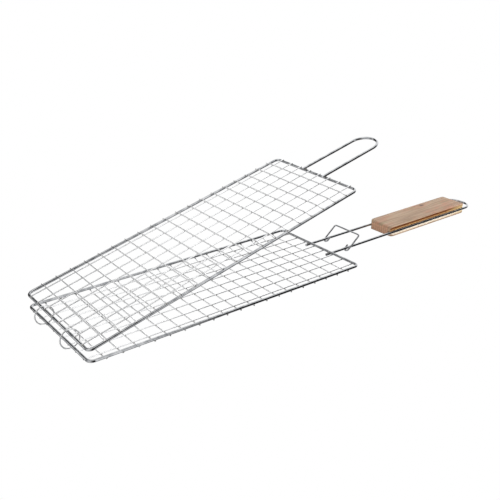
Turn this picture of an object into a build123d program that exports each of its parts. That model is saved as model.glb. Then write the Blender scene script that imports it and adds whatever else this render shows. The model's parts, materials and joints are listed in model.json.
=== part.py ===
from build123d import *
import os
from math import cos, radians, sin

# A folding wire grill basket in millimetres. Two equal wire grids are linked at one end by two loose rings.
# The lower grid carries a long wire handle with a grooved wooden grip and a sliding wire clip, and the
# upper grid, standing open, carries a short wire loop. X runs from the hinge end to the handle end, Z is up.

# wire diameters
frame_wire = 3.2
mesh_wire = 1.4
handle_wire_diameter = 3.3
clip_wire_diameter = 2.0
ring_wire = 1.5
weld_depth = 0.15            # how far one wire sinks into the next where they are welded
heavy_weld_depth = 0.25      # the same, where the handle and loop wires cross the frames

# grids, measured between the centres of their rim wires
grid_length = 350.0
grid_width = 140.1
rim_corner_radius = 6.0
long_wire_count = 8
long_wire_pitch = 16.8
cross_wire_count = 19
first_cross_wire = 17.5      # from the hinge end's rim wire
last_cross_wire = 332.5
wire_overhang = 0.9          # a mesh wire's end past the centre of the rim wire
crimp_start = 7.6            # a cross wire leaves the level of the long wires here, in from the side rim
crimp_end = 2.6              # and has reached the rim here
crimp_radius = 6.0

# hinge
open_angle = 13.99
open_roll = 1.3              # the upper half's back edge stands higher, as it hangs loosely in the rings
hinge_height = 13.34         # middle of the upper hinge wire above the lower one
ring_outer_diameter = 22.0
ring_offset = 30.0           # each ring from the middle of the basket

# upper loop and lower handle, lengths from the hinge end
wire_root = 345.8            # where both start, just inside the frame's end wire
loop_half_width = 17.6
loop_tip = 449.3
handle_half_width = 18.8
handle_tip = 634.0
handle_tip_radius = 16.0

# wooden grip
grip_start = 459.5
grip_end = 617.5
grip_width = 38.8
grip_top = 4.5               # above the centre of the lower frame
grip_bottom = -8.9
grip_top_round = 5.5
grip_bottom_round = 4.5
grip_plan_round = 9.0
groove_top = 3.7             # above the centre of the lower frame
groove_height = 10.3
groove_depth = 2.55

# clip, which leans towards the grip
clip_bottom = 379.1
clip_lean = 39.4             # above the horizontal
clip_leg = 26.2
clip_leg_gap = 3.05          # leg and hook end, each from the centre of the handle wire
clip_hook_radius = 3.0
clip_corner_radius = 2.6
clip_hook_end = 8.0
clip_drop = 3.0              # hook's lowest wire centre below the centre of the handle wire

# the origin is under the middle of the whole basket, at the height of the grip's underside
overall_start = -ring_outer_diameter / 2
overall_end = handle_tip + handle_wire_diameter / 2
hinge_x = -(overall_start + overall_end) / 2
frame_z = -grip_bottom

# heights of the layers above the centre plane of a frame, on its outer side
mesh_level = (frame_wire + mesh_wire) / 2 - weld_depth
crossing_level = mesh_level + mesh_wire - weld_depth
handle_level = (frame_wire + handle_wire_diameter) / 2 - heavy_weld_depth

# each half's own plane lies in the middle of its frame and faces outwards, away from the food
lower_outside = Plane(origin=(hinge_x, 0, frame_z), x_dir=(1, 0, 0), z_dir=(0, 0, -1))
lean = radians(open_angle)
roll = radians(open_roll)
upper_outside = Plane(
    origin=(hinge_x, 0, frame_z + hinge_height),
    x_dir=(cos(lean), 0, sin(lean)),
    z_dir=(-sin(lean) * cos(roll), -sin(roll), cos(lean) * cos(roll)),
)
halves = {"lower": lower_outside, "upper": upper_outside}

os.makedirs("parts", exist_ok=True)


def start_of(path):
    """The plane square to a path at its first point, for the section that is swept along it."""
    return Plane(origin=path @ 0, z_dir=path % 0)


def rim(outside):
    """The closed frame wire of one half, begun in the middle of its hinge end."""
    side = grid_width / 2
    with BuildPart() as bent_wire:
        with BuildLine(outside) as path:
            quarter = FilletPolyline(
                (0, 0), (0, side), (grid_length, side), (grid_length, 0), radius=rim_corner_radius
            )
            mirror(quarter, about=Plane(outside.origin, z_dir=outside.y_dir))
        with BuildSketch(start_of(quarter)):
            Circle(frame_wire / 2)
        sweep(path=path.wire())
    return bent_wire


def long_wire(outside, y):
    """A straight mesh wire along the basket, across the frame's two end wires."""
    start = outside.from_local_coords(Vector(-wire_overhang, y, mesh_level))
    with BuildPart() as straight_wire:
        with BuildSketch(Plane(origin=start, z_dir=outside.x_dir)):
            Circle(mesh_wire / 2)
        extrude(amount=grid_length + 2 * wire_overhang)
    return straight_wire


def cross_wires(outside, stations):
    """Mesh wires over the long wires, crimped down onto the frame's side wires at both ends."""
    side = grid_width / 2
    with BuildPart() as crimped_wires:
        for x in stations:
            middle = outside.from_local_coords(Vector(x, 0, 0))
            with BuildLine(Plane(origin=middle, x_dir=outside.y_dir, z_dir=outside.x_dir)) as path:
                FilletPolyline(
                    (-side - wire_overhang, mesh_level),
                    (-side + crimp_end, mesh_level),
                    (-side + crimp_start, crossing_level),
                    (side - crimp_start, crossing_level),
                    (side - crimp_end, mesh_level),
                    (side + wire_overhang, mesh_level),
                    radius=crimp_radius,
                )
            with BuildSketch(start_of(path.line)):
                Circle(mesh_wire / 2)
            sweep(path=path.wire())
    return crimped_wires


# both grids: a frame, straight wires along it, and crimped wires across it
cross_wire_pitch = (last_cross_wire - first_cross_wire) / (cross_wire_count - 1)
for half, outside in halves.items():
    frame = rim(outside)
    frame.part.label = f"{half}_frame"
    export_step(frame.part, f"parts/{frame.part.label}.step")

    for number in range(1, long_wire_count + 1):
        offset_from_middle = (number - (long_wire_count + 1) / 2) * long_wire_pitch
        wire = long_wire(outside, offset_from_middle)
        wire.part.label = f"{half}_long_wire_{number}"
        export_step(wire.part, f"parts/{wire.part.label}.step")

    # the cross wires nearest the two ends share one node
    end_pair = cross_wires(outside, [first_cross_wire, last_cross_wire])
    end_pair.part.label = f"{half}_end_cross_wires"
    export_step(end_pair.part, f"parts/{end_pair.part.label}.step")

    for number in range(2, cross_wire_count):
        wire = cross_wires(outside, [first_cross_wire + (number - 1) * cross_wire_pitch])
        wire.part.label = f"{half}_cross_wire_{number:02d}"
        export_step(wire.part, f"parts/{wire.part.label}.step")

# hinge rings, each closed round both hinge wires and standing in the basket's long direction
ring_radius = (ring_outer_diameter - ring_wire) / 2
for place, y in {"front": -ring_offset, "back": ring_offset}.items():
    with BuildPart() as ring:
        with Locations(Location((hinge_x, y, frame_z + hinge_height / 2), (90, 0, 0))):
            Torus(ring_radius, ring_wire / 2)
    ring.part.label = f"hinge_ring_{place}"
    export_step(ring.part, f"parts/{ring.part.label}.step")

# loop handle, welded on top of the upper frame's end wire
with BuildPart() as loop_handle:
    with BuildLine(upper_outside.offset(handle_level)) as loop_path:
        bend_start = loop_tip - loop_half_width
        Line((wire_root, -loop_half_width), (bend_start, -loop_half_width))
        ThreePointArc((bend_start, -loop_half_width), (loop_tip, 0), (bend_start, loop_half_width))
        Line((bend_start, loop_half_width), (wire_root, loop_half_width))
    with BuildSketch(start_of(loop_path.line)):
        Circle(handle_wire_diameter / 2)
    sweep(path=loop_path.wire())
loop_handle.part.label = "loop_handle"
export_step(loop_handle.part, "parts/loop_handle.step")

# long handle wire, welded under the lower frame's end wire, with a hanging eye past the grip
with BuildPart() as handle_wire:
    with BuildLine(lower_outside.offset(handle_level)) as handle_path:
        FilletPolyline(
            (wire_root, -handle_half_width),
            (handle_tip, -handle_half_width),
            (handle_tip, handle_half_width),
            (wire_root, handle_half_width),
            radius=handle_tip_radius,
        )
    with BuildSketch(start_of(handle_path.line)):
        Circle(handle_wire_diameter / 2)
    sweep(path=handle_path.wire())
handle_wire.part.label = "handle_wire"
export_step(handle_wire.part, "parts/handle_wire.step")

# wooden grip: a block rounded at its ends, with a wide shallow cove along each side for the wire
handle_z = frame_z - handle_level
groove_z = frame_z + groove_top - groove_height / 2
groove_radius = (groove_height**2 / 4 + groove_depth**2) / (2 * groove_depth)
groove_centre = grip_width / 2 - groove_depth + groove_radius
grip_length = grip_end - grip_start
grip_height = grip_top - grip_bottom
grip_middle_x = hinge_x + (grip_start + grip_end) / 2
with BuildPart() as handle_grip:
    with BuildSketch(Plane.XZ):
        with Locations((grip_middle_x, grip_height / 2)):
            outline = Rectangle(grip_length, grip_height)
        fillet(outline.vertices().group_by(Axis.Z)[-1], grip_top_round)
        fillet(outline.vertices().group_by(Axis.Z)[0], grip_bottom_round)
    extrude(amount=grip_width / 2, both=True)
    with BuildSketch():
        with Locations((grip_middle_x, 0)):
            RectangleRounded(grip_length, grip_width, grip_plan_round)
    extrude(amount=grip_height, mode=Mode.INTERSECT)
    with BuildSketch(Plane.YZ.offset(grip_middle_x)):
        with Locations((-groove_centre, groove_z), (groove_centre, groove_z)):
            Circle(groove_radius)
    extrude(amount=grip_length, both=True, mode=Mode.SUBTRACT)
handle_grip.part.label = "handle_grip"
export_step(handle_grip.part, "parts/handle_grip.step")

# locking clip: one wire with a hook round each handle wire and a bar between its two legs
clip_rise = radians(clip_lean)
clip_plane = Plane(
    origin=(hinge_x + clip_bottom, 0, handle_z - clip_drop),
    x_dir=(0, 1, 0),
    z_dir=(sin(clip_rise), 0, -cos(clip_rise)),
)
leg = handle_half_width + clip_leg_gap
hook_end = handle_half_width - clip_leg_gap
with BuildPart() as locking_clip:
    with BuildLine(clip_plane) as clip_path:
        FilletPolyline(
            (-hook_end, clip_hook_end),
            (-hook_end, 0),
            (-leg, 0),
            (-leg, clip_leg),
            (leg, clip_leg),
            (leg, 0),
            (hook_end, 0),
            (hook_end, clip_hook_end),
            radius=[clip_hook_radius] * 2 + [clip_corner_radius] * 2 + [clip_hook_radius] * 2,
        )
    with BuildSketch(start_of(clip_path.line)):
        Circle(clip_wire_diameter / 2)
    sweep(path=clip_path.wire())
locking_clip.part.label = "locking_clip"
export_step(locking_clip.part, "parts/locking_clip.step")
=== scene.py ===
import json
import math

import bmesh
import bpy
from mathutils import Matrix, Vector


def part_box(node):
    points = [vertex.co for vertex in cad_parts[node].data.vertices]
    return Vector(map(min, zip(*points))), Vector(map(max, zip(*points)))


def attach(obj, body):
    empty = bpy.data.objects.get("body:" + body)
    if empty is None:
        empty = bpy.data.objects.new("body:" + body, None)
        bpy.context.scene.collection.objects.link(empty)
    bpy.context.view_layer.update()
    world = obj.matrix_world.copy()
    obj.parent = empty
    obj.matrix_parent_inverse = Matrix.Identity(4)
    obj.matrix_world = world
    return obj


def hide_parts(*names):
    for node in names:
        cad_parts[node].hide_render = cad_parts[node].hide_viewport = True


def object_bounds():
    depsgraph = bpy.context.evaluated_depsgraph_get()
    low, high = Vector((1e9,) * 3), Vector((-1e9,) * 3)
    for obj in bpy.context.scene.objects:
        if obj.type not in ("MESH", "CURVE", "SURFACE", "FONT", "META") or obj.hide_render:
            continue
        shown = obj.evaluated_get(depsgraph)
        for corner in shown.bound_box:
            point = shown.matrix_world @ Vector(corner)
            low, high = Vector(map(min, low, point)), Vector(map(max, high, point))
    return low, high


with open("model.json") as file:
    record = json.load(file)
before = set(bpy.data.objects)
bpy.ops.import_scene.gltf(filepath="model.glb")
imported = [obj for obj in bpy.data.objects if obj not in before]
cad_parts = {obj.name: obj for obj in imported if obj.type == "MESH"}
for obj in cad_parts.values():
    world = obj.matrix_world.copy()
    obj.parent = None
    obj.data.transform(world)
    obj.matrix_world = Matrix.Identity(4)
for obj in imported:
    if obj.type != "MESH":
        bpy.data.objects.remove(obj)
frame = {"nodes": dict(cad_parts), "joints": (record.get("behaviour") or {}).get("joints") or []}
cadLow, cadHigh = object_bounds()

# A folding wire grill basket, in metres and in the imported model's own frame:
# X from the hinge end to the handle end, Y across the basket, Z up.
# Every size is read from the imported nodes, so the pieces land where the nodes are.
mm = 0.001


# colours are written as on a paint card and turned to the renderer's linear values here
def colour(code):
    parts = [int(code[i:i + 2], 16) / 255 for i in (1, 3, 5)]
    return tuple(c / 12.92 if c <= 0.04045 else ((c + 0.055) / 1.055) ** 2.4 for c in parts) + (1.0,)


# adds one node; an input given as a socket is linked, anything else is set on the input itself
def addNode(tree, kind, inputs=None, **settings):
    node = tree.nodes.new(kind)
    for name, value in settings.items():
        setattr(node, name, value)
    for key, value in (inputs or {}).items():
        if isinstance(value, bpy.types.NodeSocket):
            tree.links.new(value, node.inputs[key])
        else:
            node.inputs[key].default_value = value
    return node


# sizes of the real wires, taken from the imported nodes
def middleAndSize(node):
    low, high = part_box(node)
    return (low + high) / 2, high - low


rimMiddle, rimSize = middleAndSize("lower_frame")
longMiddle, longSize = middleAndSize("lower_long_wire_1")
secondLongMiddle = middleAndSize("lower_long_wire_2")[0]
crossMiddle, crossSize = middleAndSize("lower_cross_wire_02")
thirdCrossMiddle = middleAndSize("lower_cross_wire_03")[0]
endCrossMiddle, endCrossSize = middleAndSize("lower_end_cross_wires")
joints = {joint["name"]: joint for joint in frame["joints"]}
rimRadius = rimSize.z / 2
meshRadius = longSize.z / 2
hingeX = rimMiddle.x - rimSize.x / 2 + rimRadius

grid = {
    "length": rimSize.x - 2 * rimRadius,
    "width": rimSize.y - 2 * rimRadius,
    "corner": 6 * mm,
    "overhang": (longSize.x - rimSize.x) / 2 + rimRadius,
    "longCount": 8,
    "longPitch": abs(secondLongMiddle.y - longMiddle.y),
    "crossCount": 19,
    "crossPitch": thirdCrossMiddle.x - crossMiddle.x,
    "firstCross": endCrossMiddle.x - endCrossSize.x / 2 + meshRadius - hingeX,
    "meshLevel": rimMiddle.z - longMiddle.z,
    "crossingLevel": rimMiddle.z - crossMiddle.z + crossSize.z / 2 - meshRadius,
    "crimpStart": 7.6 * mm,     # in from the side rim, where a cross wire turns down
    "crimpEnd": 2.6 * mm,       # and where it has reached the rim
}

# each half is drawn flat with its outer side up, and then laid in place
openAngle = math.radians(joints["lid_hinge"]["range_deg"][1])
place = {
    "lower": Matrix.Translation((hingeX, 0, rimMiddle.z)) @ Matrix.Rotation(math.pi, 4, "X"),
}
along = Vector((math.cos(openAngle), 0, math.sin(openAngle)))
across = Vector(joints["lid_hinge"]["axis"]).normalized()
upperTurn = Matrix((along, across, along.cross(across))).transposed()
place["upper"] = Matrix.Translation(joints["lid_hinge"]["pos_m"]) @ upperTurn.to_4x4()
print("sizes read from the frame")


# a node tree that takes geometry and named sizes and gives geometry
def newTree(name, sizes):
    tree = bpy.data.node_groups.new(name, "GeometryNodeTree")
    tree.is_modifier = True
    tree.interface.new_socket("Geometry", in_out="INPUT", socket_type="NodeSocketGeometry")
    for label, kind in sizes.items():
        tree.interface.new_socket(label, in_out="INPUT", socket_type="NodeSocket" + kind)
    tree.interface.new_socket("Geometry", in_out="OUTPUT", socket_type="NodeSocketGeometry")
    return tree, addNode(tree, "NodeGroupInput").outputs


# grows a plain mesh from a tree, on a path or on nothing, and clears the modifier away
def grow(name, tree, values, path=None):
    data = path or bpy.data.meshes.new(name + "Seed")
    seed = bpy.data.objects.new(name + "Seed", data)
    bpy.context.scene.collection.objects.link(seed)
    modifier = seed.modifiers.new("grow", "NODES")
    modifier.node_group = tree
    for item in tree.interface.items_tree:
        if item.in_out == "INPUT" and item.name in values:
            modifier[item.identifier] = values[item.name]
    bpy.context.view_layer.update()
    grown = seed.evaluated_get(bpy.context.evaluated_depsgraph_get())
    mesh = bpy.data.meshes.new_from_object(grown)
    bpy.data.objects.remove(seed)
    mesh.name = name
    mesh.set_sharp_from_angle(angle=math.radians(50))
    return mesh


# several meshes become one piece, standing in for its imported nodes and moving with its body
def makePiece(name, meshes, material, body, nodes, matrix=Matrix.Identity(4)):
    joined = bmesh.new()
    for mesh in meshes:
        joined.from_mesh(mesh)
    joined.transform(matrix)
    whole = bpy.data.meshes.new(name)
    joined.to_mesh(whole)
    joined.free()
    whole.materials.append(material)
    for polygon in whole.polygons:
        polygon.material_index = 0
    piece = bpy.data.objects.new(name, whole)
    bpy.context.scene.collection.objects.link(piece)
    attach(piece, body)
    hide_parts(*nodes)
    print(name, "has", len(whole.polygons), "faces")


# Bright chrome plating over drawn steel wire: mirror-like, with the faint dimples and dull
# patches that the drawing die leaves, so that a highlight breaks up along the wire.
def chromePlatedSteel(name, finish):
    material = bpy.data.materials.new(name)
    material.use_nodes = True
    tree = material.node_tree
    tree.nodes.clear()
    where = addNode(tree, "ShaderNodeTexCoord").outputs["Object"]
    patches = addNode(tree, "ShaderNodeTexNoise", {
        "Vector": where, "Scale": 1 / (finish["patchSize"] * mm), "Detail": 3.0, "Roughness": 0.6})
    dimples = addNode(tree, "ShaderNodeTexNoise", {
        "Vector": where, "Scale": 1 / (finish["dimpleSize"] * mm), "Detail": 2.0, "Roughness": 0.5})
    tone = addNode(tree, "ShaderNodeValToRGB", {"Fac": patches.outputs["Fac"]})
    tone.color_ramp.elements[0].position = 0.35
    tone.color_ramp.elements[0].color = colour(finish["shade"])
    tone.color_ramp.elements[1].position = 0.65
    tone.color_ramp.elements[1].color = colour(finish["tint"])
    dull = addNode(tree, "ShaderNodeMapRange", {
        "Value": patches.outputs["Fac"], "From Min": 0.3, "From Max": 0.7,
        "To Min": finish["smooth"], "To Max": finish["rough"]})
    relief = addNode(tree, "ShaderNodeBump", {
        "Height": dimples.outputs["Fac"], "Strength": finish["relief"], "Distance": 0.05 * mm})
    shader = addNode(tree, "ShaderNodeBsdfPrincipled", {
        "Base Color": tone.outputs["Color"], "Metallic": 1.0,
        "Roughness": dull.outputs["Result"], "Normal": relief.outputs["Normal"]})
    addNode(tree, "ShaderNodeOutputMaterial", {"Surface": shader.outputs["BSDF"]})
    return material


# the rim chrome is tinted darker and the mesh chrome near white: painted shade on the thick wires and
# painted light on the thin ones, so that their reflections come out darker and paler
rimFinish = {"tint": "#BFC0C2", "shade": "#8E9093", "patchSize": 9.0, "dimpleSize": 0.9,
             "smooth": 0.03, "rough": 0.09, "relief": 0.06}
meshFinish = {"tint": "#F6F6F7", "shade": "#E6E7E8", "patchSize": 6.0, "dimpleSize": 0.6,
              "smooth": 0.10, "rough": 0.20, "relief": 0.1}
weldFinish = {"tint": "#CFCDC8", "shade": "#97928B", "patchSize": 1.5, "dimpleSize": 0.4,
              "smooth": 0.25, "rough": 0.45, "relief": 0.5}
rimChrome = chromePlatedSteel("chromePlatedRimWire", rimFinish)
meshChrome = chromePlatedSteel("chromePlatedMeshWire", meshFinish)
weldChrome = chromePlatedSteel("chromePlatedWeld", weldFinish)


# Flat sawn hardwood, sanded and thinly oiled: greyish tan with long grain streaks, short dark pores, cloudy
# pink and olive patches and one knot. The coves carry painted shade and painted light: dark brown just under
# their lips, partly darker unsanded wood and partly painted shade, then a near white painted highlight lower
# down, and painted light in tan toward the right end.
gripWood = {
    "tan": "#B0957A", "grey": "#947A64", "pink": "#B17C61", "olive": "#9C8E68",
    "grain": "#7F624B", "pore": "#6E5138", "knot": "#5E4636", "endGrain": "#D0A182",
    # the cove colours, from the lip down: painted shade over darker unsanded wood, a lighter middle, a near
    # white painted highlight, and painted light in tan toward the right end
    "coveHigh": "#6E3812", "coveMiddlePaintedLight": "#C79B66", "coveLow": "#F3E4CF", "coveRightPaintedLight": "#DCC08C",
    "streakWidth": 2.6, "streakLength": 60.0, "poreWidth": 0.5, "poreLength": 5.0,
    "patchSize": 34.0, "ringSpacing": 3.4, "knotRadius": 2.6,
    "roughness": (0.42, 0.62),
}
gripMiddle, gripSize = middleAndSize("handle_grip")
wireMiddle, wireSize = middleAndSize("handle_wire")
wireRadius = wireSize.z / 2
grip = {"topRound": 5.5 * mm, "bottomRound": 4.5 * mm, "planRound": 9.0 * mm, "edge": 0.5 * mm,
        "lip": 0.8 * mm, "grooveHeight": 10.3 * mm, "grooveDepth": 2.55 * mm, "grooveSteps": 18,
        "bodySections": 24, "endSections": 9}
gripTop = gripMiddle.z + gripSize.z / 2
gripBottom = gripMiddle.z - gripSize.z / 2
grooveRadius = (grip["grooveHeight"] ** 2 / 4 + grip["grooveDepth"] ** 2) / (2 * grip["grooveDepth"])
grooveCentre = gripSize.y / 2 - grip["grooveDepth"] + grooveRadius
grooveMiddle = gripTop - grip["lip"] - grip["grooveHeight"] / 2


def sandedHardwood(name, wood):
    material = bpy.data.materials.new(name)
    material.use_nodes = True
    tree = material.node_tree
    tree.nodes.clear()
    where = addNode(tree, "ShaderNodeTexCoord").outputs["Object"]
    centred = addNode(tree, "ShaderNodeMapping", {
        "Vector": where, "Location": tuple(-gripMiddle)}).outputs["Vector"]

    # the grain bends round the knot, which sits near the back edge past the middle
    knotPlace = (gripSize.x * 0.13, gripSize.y * 0.33, gripSize.z * 0.5)
    fromKnot = addNode(tree, "ShaderNodeVectorMath", {0: centred, 1: knotPlace}, operation="SUBTRACT")
    squeezed = addNode(tree, "ShaderNodeVectorMath", {
        0: fromKnot.outputs["Vector"], 1: (0.55, 1.0, 0.45)}, operation="MULTIPLY")
    knotDistance = addNode(tree, "ShaderNodeVectorMath", {
        0: squeezed.outputs["Vector"]}, operation="LENGTH").outputs["Value"]
    bend = addNode(tree, "ShaderNodeMapRange", {
        "Value": knotDistance, "From Min": 0.0, "From Max": 5 * wood["knotRadius"] * mm,
        "To Min": 1.0, "To Max": 0.0}, interpolation_type="SMOOTHERSTEP").outputs["Result"]
    push = addNode(tree, "ShaderNodeVectorMath", {
        0: fromKnot.outputs["Vector"], "Scale": bend}, operation="SCALE")
    bent = addNode(tree, "ShaderNodeVectorMath", {
        0: centred, 1: push.outputs["Vector"]}, operation="SUBTRACT").outputs["Vector"]

    def stretchedNoise(width, length, detail, vector=bent):
        scaled = addNode(tree, "ShaderNodeMapping", {
            "Vector": vector,
            "Scale": (1 / (length * mm), 1 / (width * mm), 1 / (width * mm))})
        return addNode(tree, "ShaderNodeTexNoise", {
            "Vector": scaled.outputs["Vector"], "Scale": 1.0, "Detail": detail, "Roughness": 0.55
        }).outputs["Fac"]

    streaks = stretchedNoise(wood["streakWidth"], wood["streakLength"], 4.0)
    pores = stretchedNoise(wood["poreWidth"], wood["poreLength"], 2.0)
    clouds = stretchedNoise(wood["patchSize"] * 0.45, wood["patchSize"], 2.0)
    otherClouds = stretchedNoise(wood["patchSize"] * 0.3, wood["patchSize"] * 0.8, 2.0, vector=centred)

    # growth rings run along the block, wide apart and wavy
    ringPlace = addNode(tree, "ShaderNodeMapping", {
        "Vector": bent, "Scale": (0.06 / mm, 1 / mm, 0.55 / mm), "Rotation": (0.35, 0, 0.02)})
    rings = addNode(tree, "ShaderNodeTexWave", {
        "Vector": ringPlace.outputs["Vector"], "Scale": 0.314 / wood["ringSpacing"],
        "Distortion": 5.0, "Detail": 2.0, "Detail Scale": 0.6},
        wave_type="BANDS", bands_direction="Y", wave_profile="SAW").outputs["Fac"]

    def mixColour(factor, first, second, low, high):
        share = addNode(tree, "ShaderNodeMapRange", {
            "Value": factor, "From Min": low, "From Max": high}, interpolation_type="SMOOTHSTEP")
        mixed = addNode(tree, "ShaderNodeMix", data_type="RGBA")
        tree.links.new(share.outputs["Result"], mixed.inputs["Factor"])
        for socket, value in (("A_Color", first), ("B_Color", second)):
            target = next(i for i in mixed.inputs if i.identifier == socket)
            if isinstance(value, bpy.types.NodeSocket):
                tree.links.new(value, target)
            else:
                target.default_value = value
        return next(o for o in mixed.outputs if o.identifier == "Result_Color")

    tone = mixColour(clouds, colour(wood["tan"]), colour(wood["pink"]), 0.45, 0.72)
    tone = mixColour(otherClouds, tone, colour(wood["olive"]), 0.55, 0.8)
    tone = mixColour(streaks, colour(wood["grey"]), tone, 0.3, 0.62)
    ringTone = mixColour(rings, tone, colour(wood["grain"]), 0.62, 1.35)
    poreTone = mixColour(pores, ringTone, colour(wood["pore"]), 0.63, 0.82)

    # the knot, and its darker middle
    knotTone = mixColour(knotDistance, colour(wood["knot"]), poreTone,
                         0.25 * wood["knotRadius"] * mm, 1.5 * wood["knotRadius"] * mm)

    # the two coves: painted shade darkest just under the lip, over wood left darker and unsanded there, then
    # a painted highlight near white lower down, and painted light in tan toward the right end
    split = addNode(tree, "ShaderNodeSeparateXYZ", {"Vector": centred})
    outward = addNode(tree, "ShaderNodeMath", {0: split.outputs["Y"]}, operation="ABSOLUTE")
    fromAxis = addNode(tree, "ShaderNodeMath", {0: outward.outputs["Value"], 1: grooveCentre},
                       operation="SUBTRACT")
    fromMiddle = addNode(tree, "ShaderNodeMath", {0: split.outputs["Z"], 1: grooveMiddle - gripMiddle.z},
                         operation="SUBTRACT").outputs["Value"]
    spoke = addNode(tree, "ShaderNodeCombineXYZ", {"Y": fromAxis.outputs["Value"], "Z": fromMiddle})
    axisDistance = addNode(tree, "ShaderNodeVectorMath", {0: spoke.outputs["Vector"]},
                           operation="LENGTH").outputs["Value"]
    # painted highlight: the lower part of the cove pales to near white
    coveWoodAndPaintedLight = mixColour(fromMiddle, colour(wood["coveLow"]), colour(wood["coveMiddlePaintedLight"]),
                         -0.38 * grip["grooveHeight"], 0.05 * grip["grooveHeight"])
    # painted shade: darkest brown just under the lip, partly darker unsanded wood
    coveWoodAndPaintedLight = mixColour(fromMiddle, coveWoodAndPaintedLight, colour(wood["coveHigh"]),
                         -0.05 * grip["grooveHeight"], 0.26 * grip["grooveHeight"])
    # painted light: the cove turns tan toward the right end
    coveWoodAndPaintedLight = mixColour(split.outputs["X"], coveWoodAndPaintedLight, colour(wood["coveRightPaintedLight"]),
                         0.2 * gripSize.x, 0.58 * gripSize.x)
    grooveTone = mixColour(axisDistance, coveWoodAndPaintedLight, knotTone,
                           grooveRadius + 0.1 * mm, grooveRadius + 0.3 * mm)

    # end grain on both sawn ends
    alongHalf = addNode(tree, "ShaderNodeMath", {0: split.outputs["X"]}, operation="ABSOLUTE")
    ends = addNode(tree, "ShaderNodeMapRange", {
        "Value": alongHalf.outputs["Value"],
        "From Min": gripSize.x / 2 - 1.6 * mm, "From Max": gripSize.x / 2 - 0.4 * mm})
    endTone = mixColour(rings, colour(wood["endGrain"]), colour(wood["grain"]), 0.3, 1.6)
    finalTone = mixColour(ends.outputs["Result"], grooveTone, endTone, 0.0, 1.0)

    dull = addNode(tree, "ShaderNodeMapRange", {
        "Value": streaks, "From Min": 0.3, "From Max": 0.7,
        "To Min": wood["roughness"][1], "To Max": wood["roughness"][0]})
    height = addNode(tree, "ShaderNodeMath", {0: pores, 1: streaks}, operation="SUBTRACT")
    relief = addNode(tree, "ShaderNodeBump", {
        "Height": height.outputs["Value"], "Strength": 0.35, "Distance": 0.12 * mm}, invert=True)
    shader = addNode(tree, "ShaderNodeBsdfPrincipled", {
        "Base Color": finalTone, "Roughness": dull.outputs["Result"],
        "Normal": relief.outputs["Normal"], "Specular IOR Level": 0.35})
    addNode(tree, "ShaderNodeOutputMaterial", {"Surface": shader.outputs["BSDF"]})
    return material


hardwood = sandedHardwood("sandedOiledHardwood", gripWood)
print("materials made")


# small helpers for the node trees
def calc(tree, first, second, operation="ADD"):
    return addNode(tree, "ShaderNodeMath", {0: first, 1: second}, operation=operation).outputs["Value"]


def vector(tree, x=0.0, y=0.0, z=0.0):
    return addNode(tree, "ShaderNodeCombineXYZ", {"X": x, "Y": y, "Z": z}).outputs["Vector"]


# how far each point of a wire strays from its true place, in a slow wave along the wire
def strayFrom(tree, sizes):
    reach = calc(tree, 1.0, sizes["Bow Length"], "DIVIDE")
    wander = addNode(tree, "ShaderNodeTexNoise", {
        "W": sizes["Seed"], "Scale": reach, "Detail": 1.0}, noise_dimensions="4D")
    centred = addNode(tree, "ShaderNodeVectorMath", {
        0: wander.outputs["Color"], 1: (0.5, 0.5, 0.5)}, operation="SUBTRACT")
    return addNode(tree, "ShaderNodeVectorMath", {
        0: centred.outputs["Vector"], "Scale": sizes["Unevenness"]}, operation="SCALE").outputs["Vector"]


# sweeps a round section along every curve that it is given
def sweepRound(tree, curves, radius, sides):
    section = addNode(tree, "GeometryNodeCurvePrimitiveCircle", {"Resolution": sides, "Radius": radius})
    return addNode(tree, "GeometryNodeCurveToMesh", {
        "Curve": curves, "Profile Curve": section.outputs["Curve"], "Fill Caps": True}).outputs["Mesh"]


# ends a tree: real geometry, smooth, in the finish that was passed in
def endTree(tree, geometry, sizes):
    whole = addNode(tree, "GeometryNodeRealizeInstances", {"Geometry": geometry})
    smooth = addNode(tree, "GeometryNodeSetShadeSmooth", {"Geometry": whole.outputs["Geometry"]})
    plated = addNode(tree, "GeometryNodeSetMaterial", {
        "Geometry": smooth.outputs["Geometry"], "Material": sizes["Finish"]})
    addNode(tree, "NodeGroupOutput", {"Geometry": plated.outputs["Geometry"]})


# a wire of round section swept along its own path, a little uneven, with its ends cut square
sweptWire, sizes = newTree("sweptWire", {
    "Radius": "Float", "Sides": "Int", "Unevenness": "Float", "Bow Length": "Float",
    "Seed": "Int", "Finish": "Material"})
uneven = addNode(sweptWire, "GeometryNodeSetPosition", {
    "Geometry": sizes["Geometry"], "Offset": strayFrom(sweptWire, sizes)})
endTree(sweptWire, sweepRound(sweptWire, uneven.outputs["Geometry"], sizes["Radius"], sizes["Sides"]), sizes)

# the two layers of mesh wire: straight ones along, crimped ones across on top of them
wireGrid, sizes = newTree("wireGrid", {
    "Length": "Float", "Width": "Float", "Overhang": "Float", "Wire Radius": "Float", "Sides": "Int",
    "Long Count": "Int", "Long Pitch": "Float", "Cross Count": "Int", "Cross Pitch": "Float",
    "First Cross": "Float", "Mesh Level": "Float", "Crossing Level": "Float",
    "Crimp Start": "Float", "Crimp End": "Float",
    "Unevenness": "Float", "Bow Length": "Float", "Seed": "Int", "Finish": "Material"})
longPointCount, crossPointCount = 62, 90    # points along one wire, closer on those that are crimped
stray = strayFrom(wireGrid, sizes)

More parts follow.
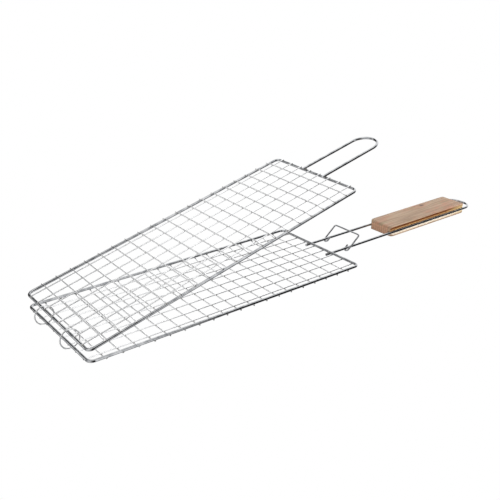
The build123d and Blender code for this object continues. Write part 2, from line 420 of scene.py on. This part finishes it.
backOverhang = calc(wireGrid, 0.0, sizes["Overhang"], "SUBTRACT")
farEnd = calc(wireGrid, sizes["Length"], sizes["Overhang"])
longGaps = calc(wireGrid, sizes["Long Count"], 1, "SUBTRACT")
longSpan = calc(wireGrid, longGaps, sizes["Long Pitch"], "MULTIPLY")
firstLong = calc(wireGrid, longSpan, -0.5, "MULTIPLY")
longStarts = addNode(wireGrid, "GeometryNodeMeshLine", {
    "Count": sizes["Long Count"],
    "Start Location": vector(wireGrid, 0.0, firstLong, sizes["Mesh Level"]),
    "Offset": vector(wireGrid, 0.0, sizes["Long Pitch"], 0.0)})
oneLong = addNode(wireGrid, "GeometryNodeCurvePrimitiveLine", {
    "Start": vector(wireGrid, backOverhang), "End": vector(wireGrid, farEnd)})
longPoints = addNode(wireGrid, "GeometryNodeResampleCurve", {
    "Curve": oneLong.outputs["Curve"], "Count": longPointCount})
longCopies = addNode(wireGrid, "GeometryNodeInstanceOnPoints", {
    "Points": longStarts.outputs["Mesh"], "Instance": longPoints.outputs["Curve"]})
longWires = addNode(wireGrid, "GeometryNodeRealizeInstances", {
    "Geometry": longCopies.outputs["Instances"]})
longBow = addNode(wireGrid, "ShaderNodeVectorMath", {
    0: stray, 1: (0.0, 1.0, 0.25)}, operation="MULTIPLY")
longUneven = addNode(wireGrid, "GeometryNodeSetPosition", {
    "Geometry": longWires.outputs["Geometry"], "Offset": longBow.outputs["Vector"]})

halfWidth = calc(wireGrid, sizes["Width"], 0.5, "MULTIPLY")
halfReach = calc(wireGrid, halfWidth, sizes["Overhang"])
crossStarts = addNode(wireGrid, "GeometryNodeMeshLine", {
    "Count": sizes["Cross Count"], "Start Location": vector(wireGrid, sizes["First Cross"]),
    "Offset": vector(wireGrid, sizes["Cross Pitch"])})
oneCross = addNode(wireGrid, "GeometryNodeCurvePrimitiveLine", {
    "Start": vector(wireGrid, 0.0, calc(wireGrid, 0.0, halfReach, "SUBTRACT")),
    "End": vector(wireGrid, 0.0, halfReach)})
crossPoints = addNode(wireGrid, "GeometryNodeResampleCurve", {
    "Curve": oneCross.outputs["Curve"], "Count": crossPointCount})
crossCopies = addNode(wireGrid, "GeometryNodeInstanceOnPoints", {
    "Points": crossStarts.outputs["Mesh"], "Instance": crossPoints.outputs["Curve"]})
crossWires = addNode(wireGrid, "GeometryNodeRealizeInstances", {
    "Geometry": crossCopies.outputs["Instances"]})
crossPlace = addNode(wireGrid, "ShaderNodeSeparateXYZ", {
    "Vector": addNode(wireGrid, "GeometryNodeInputPosition").outputs["Position"]})
fromMiddle = addNode(wireGrid, "ShaderNodeMath", {0: crossPlace.outputs["Y"]}, operation="ABSOLUTE")
crimp = addNode(wireGrid, "ShaderNodeMapRange", {
    "Value": fromMiddle.outputs["Value"],
    "From Min": calc(wireGrid, halfWidth, sizes["Crimp Start"], "SUBTRACT"),
    "From Max": calc(wireGrid, halfWidth, sizes["Crimp End"], "SUBTRACT"),
    "To Min": sizes["Crossing Level"], "To Max": sizes["Mesh Level"]}, interpolation_type="SMOOTHSTEP")
crossBow = addNode(wireGrid, "ShaderNodeVectorMath", {
    0: stray, 1: (1.0, 0.0, 0.25)}, operation="MULTIPLY")
crossOffset = addNode(wireGrid, "ShaderNodeVectorMath", {
    0: crossBow.outputs["Vector"], 1: vector(wireGrid, 0.0, 0.0, crimp.outputs["Result"])},
    operation="ADD")
crossUneven = addNode(wireGrid, "GeometryNodeSetPosition", {
    "Geometry": crossWires.outputs["Geometry"], "Offset": crossOffset.outputs["Vector"]})

bothLayers = addNode(wireGrid, "GeometryNodeJoinGeometry")
wireGrid.links.new(longUneven.outputs["Geometry"], bothLayers.inputs["Geometry"])
wireGrid.links.new(crossUneven.outputs["Geometry"], bothLayers.inputs["Geometry"])
gridWires = sweepRound(wireGrid, bothLayers.outputs["Geometry"], sizes["Wire Radius"], sizes["Sides"])
endTree(wireGrid, gridWires, sizes)

# a rectangle of flattened weld beads, one where each pair of wires crosses
weldBeads, sizes = newTree("weldBeads", {
    "Columns": "Int", "Rows": "Int", "Size X": "Float", "Size Y": "Float", "Centre": "Vector",
    "Bead Radius": "Float", "Flatness": "Float", "Seed": "Int", "Finish": "Material"})
spots = addNode(weldBeads, "GeometryNodeMeshGrid", {
    "Size X": sizes["Size X"], "Size Y": sizes["Size Y"],
    "Vertices X": sizes["Columns"], "Vertices Y": sizes["Rows"]})
placed = addNode(weldBeads, "GeometryNodeSetPosition", {
    "Geometry": spots.outputs["Mesh"], "Offset": sizes["Centre"]})
bead = addNode(weldBeads, "GeometryNodeMeshUVSphere", {
    "Segments": 8, "Rings": 5, "Radius": sizes["Bead Radius"]})
flatten = addNode(weldBeads, "GeometryNodeTransform", {
    "Geometry": bead.outputs["Mesh"], "Scale": vector(weldBeads, 1.0, 1.0, sizes["Flatness"])})
beadSize = addNode(weldBeads, "FunctionNodeRandomValue", {
    2: 0.85, 3: 1.2, "Seed": sizes["Seed"]}, data_type="FLOAT")
beadTurn = addNode(weldBeads, "FunctionNodeRandomValue", {
    2: 0.0, 3: math.pi, "Seed": sizes["Seed"]}, data_type="FLOAT")
beads = addNode(weldBeads, "GeometryNodeInstanceOnPoints", {
    "Points": placed.outputs["Geometry"], "Instance": flatten.outputs["Geometry"],
    "Scale": beadSize.outputs[1],
    "Rotation": vector(weldBeads, 0.0, 0.0, beadTurn.outputs[1])})
endTree(weldBeads, beads.outputs["Instances"], sizes)
print("node trees made")


# a path of straight runs and round corners, as one open or closed curve
def bentPath(name, corners, radii, closed=False, step=4 * mm, arcSteps=10):
    corners = [Vector(c) for c in corners]
    count = len(corners)
    points = []
    for i, corner in enumerate(corners):
        if not closed and i in (0, count - 1):
            points.append(corner)
            continue
        inward = (corners[i - 1] - corner).normalized()
        onward = (corners[(i + 1) % count] - corner).normalized()
        half = inward.angle(onward) / 2
        back = radii[i] / math.tan(half)
        centre = corner + (inward + onward).normalized() * (radii[i] / math.sin(half))
        start, end = corner + inward * back, corner + onward * back
        sweep = math.pi - 2 * half
        for k in range(arcSteps + 1):
            turn = k / arcSteps * sweep
            a, b = start - centre, end - centre
            points.append(centre + (a * math.sin(sweep - turn) + b * math.sin(turn)) / math.sin(sweep)
                          if abs(math.sin(sweep)) > 1e-3 else centre + a.lerp(b, k / arcSteps))
    runs = list(zip(points, points[1:] + points[:1])) if closed else list(zip(points, points[1:]))
    spaced = []
    for a, b in runs:
        parts = max(1, round((b - a).length / step))
        spaced += [a.lerp(b, k / parts) for k in range(parts)]
    if not closed:
        spaced.append(points[-1])
    curve = bpy.data.curves.new(name, "CURVE")
    curve.dimensions = "3D"
    spline = curve.splines.new("POLY")
    spline.points.add(len(spaced) - 1)
    for point, co in zip(spline.points, spaced):
        point.co = (*co, 1.0)
    spline.use_cyclic_u = closed
    return curve


def wireMesh(name, path, radius, finish, sides=20, unevenness=0.1 * mm, seed=1):
    return grow(name, sweptWire, {
        "Radius": radius, "Sides": sides, "Unevenness": unevenness, "Bow Length": 90 * mm,
        "Seed": seed, "Finish": finish}, path)


# the two grids
gridLook = {"sides": 12, "unevenness": 0.35 * mm, "bowLength": 55 * mm,
            "beadRadius": 1.0 * mm, "rimBeadRadius": 1.15 * mm, "beadFlatness": 0.45}
rimCorners = [(0, -grid["width"] / 2, 0), (grid["length"], -grid["width"] / 2, 0),
              (grid["length"], grid["width"] / 2, 0), (0, grid["width"] / 2, 0)]
crossSpan = grid["crossPitch"] * (grid["crossCount"] - 1)
longSpan = grid["longPitch"] * (grid["longCount"] - 1)
crossCentre = grid["firstCross"] + crossSpan / 2
betweenLayers = (grid["meshLevel"] + grid["crossingLevel"]) / 2
onRim = (rimRadius + grid["meshLevel"] - meshRadius) / 2
beadGroups = {
    "crossings": (grid["crossCount"], grid["longCount"], crossSpan, longSpan,
                  (crossCentre, 0, betweenLayers), gridLook["beadRadius"]),
    "sideRims": (grid["crossCount"], 2, crossSpan, grid["width"],
                 (crossCentre, 0, onRim), gridLook["rimBeadRadius"]),
    "endRims": (2, grid["longCount"], grid["length"], longSpan,
                (grid["length"] / 2, 0, onRim), gridLook["rimBeadRadius"]),
}
for seed, half in enumerate(("lower", "upper"), start=3):
    body = half + "_half"
    rim = wireMesh(half + "Rim", bentPath("rimPath", rimCorners, [grid["corner"]] * 4, closed=True),
                   rimRadius, rimChrome, unevenness=0.2 * mm, seed=seed)
    makePiece(half + "Rim", [rim], rimChrome, body, [half + "_frame"], place[half])

    wires = grow(half + "Mesh", wireGrid, {
        "Length": grid["length"], "Width": grid["width"], "Overhang": grid["overhang"],
        "Wire Radius": meshRadius, "Sides": gridLook["sides"],
        "Long Count": grid["longCount"], "Long Pitch": grid["longPitch"],
        "Cross Count": grid["crossCount"], "Cross Pitch": grid["crossPitch"],
        "First Cross": grid["firstCross"], "Mesh Level": grid["meshLevel"],
        "Crossing Level": grid["crossingLevel"], "Crimp Start": grid["crimpStart"],
        "Crimp End": grid["crimpEnd"], "Unevenness": gridLook["unevenness"],
        "Bow Length": gridLook["bowLength"], "Seed": seed, "Finish": meshChrome})
    wireNodes = [n for n in frame["nodes"] if n.startswith(half) and ("_long_" in n or "_cross_" in n)]
    makePiece(half + "MeshWires", [wires], meshChrome, body, wireNodes, place[half])

    beads = [grow(half + group, weldBeads, {
        "Columns": columns, "Rows": rows, "Size X": sizeX, "Size Y": sizeY, "Centre": centre,
        "Bead Radius": radius, "Flatness": gridLook["beadFlatness"], "Seed": seed, "Finish": weldChrome})
        for group, (columns, rows, sizeX, sizeY, centre, radius) in beadGroups.items()]
    makePiece(half + "Welds", beads, weldChrome, body, [], place[half])
print("both grids made")

# sizes that the finger loop and the handle wire share
bentEnd = {"root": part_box("handle_wire")[0].x - hingeX, "weldDepth": 0.25 * mm,
           "weldRadius": 1.9 * mm, "weldFlatness": 0.5}


# one U of wire across the end rim of a half, with a weld bead where each leg crosses the rim
def makeBentWire(name, shape, half, node, seed):
    root, tip, side, level = bentEnd["root"], shape["tip"], shape["halfWidth"], shape["level"]
    path = bentPath(name + "Path", [
        (root, -side, level), (tip, -side, level), (tip, side, level), (root, side, level)],
        [0, shape["cornerRadius"], shape["cornerRadius"], 0], arcSteps=shape["arcSteps"])
    welds = grow(name + "Welds", weldBeads, {
        "Columns": 1, "Rows": 2, "Size X": 0.0, "Size Y": 2 * side,
        "Centre": (grid["length"], 0, level / 2), "Bead Radius": bentEnd["weldRadius"],
        "Flatness": bentEnd["weldFlatness"], "Seed": seed, "Finish": weldChrome})
    wire = wireMesh(name, path, wireRadius, rimChrome, seed=seed + 1)
    body = half + "_half"
    makePiece(name, [wire], rimChrome, body, [node], place[half])
    makePiece(name + "Welds", [welds], weldChrome, body, [], place[half])


# finger loop on the upper half, whose packed box leans with it
loopSize = middleAndSize("loop_handle")[1]
loopHalfWidth = (loopSize.y / 2 - wireRadius) / across.y
loopLength = (loopSize.x - wireRadius * (1 + math.sin(openAngle))) / math.cos(openAngle)
makeBentWire("fingerLoop", {
    "halfWidth": loopHalfWidth, "tip": loopLength + bentEnd["root"], "arcSteps": 18,
    "level": wireRadius + rimRadius - bentEnd["weldDepth"], "cornerRadius": loopHalfWidth * 0.999},
    "upper", "loop_handle", seed=5)

# handle wire on the lower half: a long U whose bend is the hanging eye
makeBentWire("handleWire", {
    "halfWidth": wireSize.y / 2 - wireRadius, "tip": wireSize.x - wireRadius + bentEnd["root"],
    "arcSteps": 14, "level": rimMiddle.z - wireMiddle.z, "cornerRadius": 16 * mm},
    "lower", "handle_wire", seed=7)
print("loop and handle wire made")

# hinge rings: thin wire bent round, its two ends almost meeting at the top
for seed, side in enumerate(("front", "back"), start=11):
    ringMiddle, ringSize = middleAndSize("hinge_ring_" + side)
    thickness = ringSize.y / 2
    radius = ringSize.z / 2 - thickness
    curve = bpy.data.curves.new("ringPath", "CURVE")
    curve.dimensions = "3D"
    spline = curve.splines.new("POLY")
    ringSteps = 72
    gap = 0.25 * mm / radius
    spline.points.add(ringSteps)
    for k, point in enumerate(spline.points):
        angle = gap / 2 + (2 * math.pi - gap) * k / ringSteps
        point.co = (ringMiddle.x + radius * math.sin(angle), ringMiddle.y,
                    ringMiddle.z + radius * math.cos(angle), 1.0)
    ring = wireMesh("ring", curve, thickness, meshChrome, sides=14, unevenness=0.15 * mm, seed=seed)
    makePiece("hingeRing" + side.title(), [ring], meshChrome, "hinge_rings",
              ["hinge_ring_" + side])
print("rings made")

# locking clip: one wire in a leaning plane, hooked under both legs of the handle wire
clipSize = middleAndSize("locking_clip")[1]
clip = {"radius": 1.0 * mm, "lean": math.radians(39.4), "hookRadius": 3.0 * mm,
        "cornerRadius": 2.6 * mm, "legGap": 3.05 * mm, "hookEnd": 8.0 * mm}
clipLeg = clipSize.y / 2 - clip["radius"]
clipHook = clipLeg - 2 * clip["legGap"]
clipHeight = (clipSize.z - 2 * clip["radius"]) / math.sin(clip["lean"])
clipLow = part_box("locking_clip")[0]
clipPath = bentPath("clipPath", [
    (-clipHook, clip["hookEnd"], 0), (-clipHook, 0, 0), (-clipLeg, 0, 0), (-clipLeg, clipHeight, 0),
    (clipLeg, clipHeight, 0), (clipLeg, 0, 0), (clipHook, 0, 0), (clipHook, clip["hookEnd"], 0)],
    [0, clip["hookRadius"], clip["hookRadius"], clip["cornerRadius"],
     clip["cornerRadius"], clip["hookRadius"], clip["hookRadius"], 0], step=2 * mm)
clipPlane = Matrix((
    (0, math.cos(clip["lean"]), math.sin(clip["lean"]), clipLow.x + clip["radius"]),
    (1, 0, 0, 0),
    (0, math.sin(clip["lean"]), -math.cos(clip["lean"]), clipLow.z + clip["radius"]),
    (0, 0, 0, 1)))
clipWire = wireMesh("clipWire", clipPath, clip["radius"], rimChrome,
                    sides=16, unevenness=0.12 * mm, seed=15)
makePiece("lockingClip", [clipWire], rimChrome, "clip", ["locking_clip"], clipPlane)
print("clip made")

# wooden grip: closed cross sections along X, each with a wide cove in both sides
longestRound = max(grip["topRound"], grip["bottomRound"], grip["planRound"])


def roundedBack(radius, distance):
    # how far a rounded end stands back at this distance from its face
    return radius - math.sqrt(max(radius ** 2 - (radius - min(distance, radius)) ** 2, 0))


def sideColumn(distance):
    # heights and half widths up one side, from the underside to the top
    top = gripTop - roundedBack(grip["topRound"], distance)
    bottom = gripBottom + roundedBack(grip["bottomRound"], distance)
    halfWide = gripSize.y / 2 - roundedBack(grip["planRound"], distance)
    edge = grip["edge"]
    turns = [math.sin(k / 8 * math.pi) for k in range(5)]
    backs = [math.cos(k / 8 * math.pi) for k in range(5)]
    column = [(bottom + edge * (1 - back), halfWide - edge * (1 - turn))
              for turn, back in zip(turns, backs)]
    coveLow = max(grooveMiddle - grip["grooveHeight"] / 2, bottom + edge + 0.05 * mm)
    coveHigh = min(grooveMiddle + grip["grooveHeight"] / 2, top - edge - 0.05 * mm)
    for k in range(grip["grooveSteps"] + 1):
        z = coveLow + (coveHigh - coveLow) * (1 - math.cos(k / grip["grooveSteps"] * math.pi)) / 2
        inside = grooveCentre - math.sqrt(max(grooveRadius ** 2 - (z - grooveMiddle) ** 2, 0))
        column.append((z, min(halfWide, inside)))
    return column + [(top - edge * (1 - back), halfWide - edge * (1 - turn))
                     for turn, back in reversed(list(zip(turns, backs)))]


def gripSection(x, distance):
    column = sideColumn(distance)
    across = [i / 8 for i in range(1, 8)]
    outline = [(x, -y, z) for z, y in column]
    topY = column[-1][1]
    outline += [(x, -topY + 2 * topY * s, column[-1][0]) for s in across]
    outline += [(x, y, z) for z, y in reversed(column)]
    bottomY = column[0][1]
    outline += [(x, bottomY - 2 * bottomY * s, column[0][0]) for s in across]
    return outline


endDistances = [longestRound * (1 - math.cos(k / grip["endSections"] * math.pi / 2))
                for k in range(grip["endSections"] + 1)]
gripStart = gripMiddle.x - gripSize.x / 2
gripEnd = gripMiddle.x + gripSize.x / 2
stations = [(gripStart + d, d) for d in endDistances]
bodyRun = gripSize.x - 2 * longestRound
stations += [(gripStart + longestRound + bodyRun * k / grip["bodySections"], longestRound)
             for k in range(1, grip["bodySections"])]
stations += [(gripEnd - d, d) for d in reversed(endDistances)]
block = bmesh.new()
loops = [[block.verts.new(co) for co in gripSection(x, d)] for x, d in stations]
for near, far in zip(loops, loops[1:]):
    for k in range(len(near)):
        n = (k + 1) % len(near)
        block.faces.new((near[k], near[n], far[n], far[k]))
block.faces.new(reversed(loops[0]))
block.faces.new(loops[-1])
bmesh.ops.recalc_face_normals(block, faces=block.faces)
blockMesh = bpy.data.meshes.new("gripBlock")
block.to_mesh(blockMesh)
block.free()
for polygon in blockMesh.polygons:
    polygon.use_smooth = True
blockMesh.set_sharp_from_angle(angle=math.radians(35))
makePiece("handleGrip", [blockMesh], hardwood, "lower_half", ["handle_grip"])
print("grip made")

# paper under the basket: plain white to the camera and a grey sheet to other light, so it shows
# no shadow; the wires mirror neither the paper nor the lamps, only the room
studio = {"floorSize": 12.0, "paper": "#FFFFFF", "sheet": "#7A7A7A", "sheetGlow": 0.34,
          "wallLevel": 1.0, "ceilingLevel": 1.35, "ceilingEdge": (0.70, 0.82),
          "flatTowards": (-0.18, -0.66, 0.73), "flatEdge": (0.90, 0.95), "flatLevel": 0.02,
          "keyPower": 3.0, "fillPower": 30.0}
paper = bpy.data.materials.new("whiteSeamlessPaper")
paper.use_nodes = True
paperTree = paper.node_tree
paperTree.nodes.clear()
paperNoise = addNode(paperTree, "ShaderNodeTexNoise", {
    "Vector": addNode(paperTree, "ShaderNodeTexCoord").outputs["Object"], "Scale": 900.0})
paperBump = addNode(paperTree, "ShaderNodeBump", {
    "Height": paperNoise.outputs["Fac"], "Strength": 0.05, "Distance": 0.1 * mm})
paperSheet = addNode(paperTree, "ShaderNodeBsdfPrincipled", {
    "Base Color": colour(studio["sheet"]), "Roughness": 0.9, "Normal": paperBump.outputs["Normal"],
    "Emission Color": (1, 1, 1, 1), "Emission Strength": studio["sheetGlow"]})
paperGlow = addNode(paperTree, "ShaderNodeEmission", {"Color": colour(studio["paper"]), "Strength": 1.0})
paperBoth = addNode(paperTree, "ShaderNodeMixShader", {
    0: addNode(paperTree, "ShaderNodeLightPath").outputs["Is Camera Ray"],
    1: paperSheet.outputs["BSDF"], 2: paperGlow.outputs["Emission"]})
addNode(paperTree, "ShaderNodeOutputMaterial", {"Surface": paperBoth.outputs["Shader"]})
floorMesh = bpy.data.meshes.new("floor")
reachOut = studio["floorSize"] / 2
floorHeight = cadLow.z - 0.2 * mm
floorMesh.from_pydata([(-reachOut, -reachOut, floorHeight), (reachOut, -reachOut, floorHeight),
                       (reachOut, reachOut, floorHeight), (-reachOut, reachOut, floorHeight)],
                      [], [(0, 1, 2, 3)])
floorMesh.materials.append(paper)
floor = bpy.data.objects.new("floor", floorMesh)
bpy.context.scene.collection.objects.link(floor)
floor.visible_glossy = False

# the room: walls that go from dark to light round the compass, and a bright ceiling
world = bpy.data.worlds.new("studioRoom")
bpy.context.scene.world = world
world.use_nodes = True
sky = world.node_tree
sky.nodes.clear()
direction = addNode(sky, "ShaderNodeTexCoord").outputs["Generated"]
compass = addNode(sky, "ShaderNodeSeparateXYZ", {"Vector": direction})
towardsFront = addNode(sky, "ShaderNodeMath", {0: compass.outputs["Y"], 1: -1.0}, operation="MULTIPLY")
bearing = addNode(sky, "ShaderNodeMath", {
    0: compass.outputs["X"], 1: towardsFront.outputs["Value"]}, operation="ARCTAN2")
turnShare = addNode(sky, "ShaderNodeMapRange", {
    "Value": bearing.outputs["Value"], "From Min": -math.pi, "From Max": math.pi})

# bearing in degrees from the front towards the right, and how bright the wall is there
walls = [(-180, 0.02), (-151, 0.02), (-146, 1.4), (-139, 1.4), (-136, 0.18), (-125, 0.25), (-95, 1.4),
         (-40, 0.5), (-20, 0.02), (12, 0.02), (17, 1.4), (26, 1.4), (32, 0.02), (62, 0.02), (90, 1.4),
         (150, 1.4), (170, 0.02)]
wallTone = addNode(sky, "ShaderNodeValToRGB", {"Fac": turnShare.outputs["Result"]})
stops = wallTone.color_ramp.elements
for index, (degrees, level) in enumerate(walls):
    if index < 2:
        stop = stops[index]
        stop.position = (degrees + 180) / 360
    else:
        stop = stops.new((degrees + 180) / 360)
    stop.color = (level, level, level, 1)
wallLight = addNode(sky, "ShaderNodeMath", {
    0: wallTone.outputs["Color"], 1: studio["wallLevel"]}, operation="MULTIPLY")
overhead = addNode(sky, "ShaderNodeMapRange", {
    "Value": compass.outputs["Z"], "From Min": studio["ceilingEdge"][0],
    "From Max": studio["ceilingEdge"][1]}, interpolation_type="SMOOTHSTEP")
roomLight = addNode(sky, "ShaderNodeMix", {
    "Factor": overhead.outputs["Result"], 2: wallLight.outputs["Value"], 3: studio["ceilingLevel"]},
    data_type="FLOAT").outputs[0]

# a dark flat high in front, seen in the hinge end of the upper frame
facing = addNode(sky, "ShaderNodeVectorMath", {
    0: direction, 1: Vector(studio["flatTowards"]).normalized()}, operation="DOT_PRODUCT")
openSky = addNode(sky, "ShaderNodeMapRange", {
    "Value": facing.outputs["Value"], "From Min": studio["flatEdge"][0],
    "From Max": studio["flatEdge"][1], "To Min": 1.0, "To Max": studio["flatLevel"]},
    interpolation_type="SMOOTHSTEP")
roomLight = addNode(sky, "ShaderNodeMath", {
    0: roomLight, 1: openSky.outputs["Result"]}, operation="MULTIPLY").outputs["Value"]
seen = addNode(sky, "ShaderNodeBackground", {"Color": (1, 1, 1, 1), "Strength": 1.0})
lighting = addNode(sky, "ShaderNodeBackground", {
    "Color": (1, 1, 1, 1), "Strength": roomLight})
toCamera = addNode(sky, "ShaderNodeLightPath").outputs["Is Camera Ray"]
both = addNode(sky, "ShaderNodeMixShader", {
    0: toCamera, 1: lighting.outputs["Background"], 2: seen.outputs["Background"]})
addNode(sky, "ShaderNodeOutputWorld", {"Surface": both.outputs["Shader"]})


# one large soft box overhead and one low in front; the wires show the walls and not the boxes
def softBox(name, location, aim, size, power):
    light = bpy.data.lights.new(name, "AREA")
    light.shape = "SQUARE"
    light.size = size
    light.energy = power
    lamp = bpy.data.objects.new(name, light)
    lamp.location = location
    lamp.rotation_euler = (Vector(aim) - Vector(location)).to_track_quat("-Z", "Y").to_euler()
    lamp.visible_glossy = False
    bpy.context.scene.collection.objects.link(lamp)


softBox("overhead", (0.1, 0.5, 1.6), (0, 0, 0), 1.2, studio["keyPower"])
softBox("lowFront", (0.7, -1.6, 0.35), (0.25, 0, 0), 0.9, studio["fillPower"])

# camera: a little above the basket, from the front on the hinge side
view = {"azimuth": -37.588, "elevation": 23.723, "distance": 2.6363 * grid["length"], "lens": 53.373,
        "target": (0.7877 * grid["length"] + hingeX, 0.1277 * grid["length"], rimMiddle.z)}
turn, rise = math.radians(view["azimuth"]), math.radians(view["elevation"])
back = Vector((math.sin(turn) * math.cos(rise), -math.cos(turn) * math.cos(rise), math.sin(rise)))
cameraData = bpy.data.cameras.new("camera")
cameraData.lens = view["lens"]
cameraData.sensor_width = 36.0
cameraData.clip_start = 0.01
cameraData.clip_end = 50.0
camera = bpy.data.objects.new("camera", cameraData)
camera.location = Vector(view["target"]) + back * view["distance"]
camera.rotation_euler = (-back).to_track_quat("-Z", "Y").to_euler()
bpy.context.scene.collection.objects.link(camera)
bpy.context.scene.camera = camera
bpy.context.scene.view_settings.view_transform = "Standard"
print("studio made")
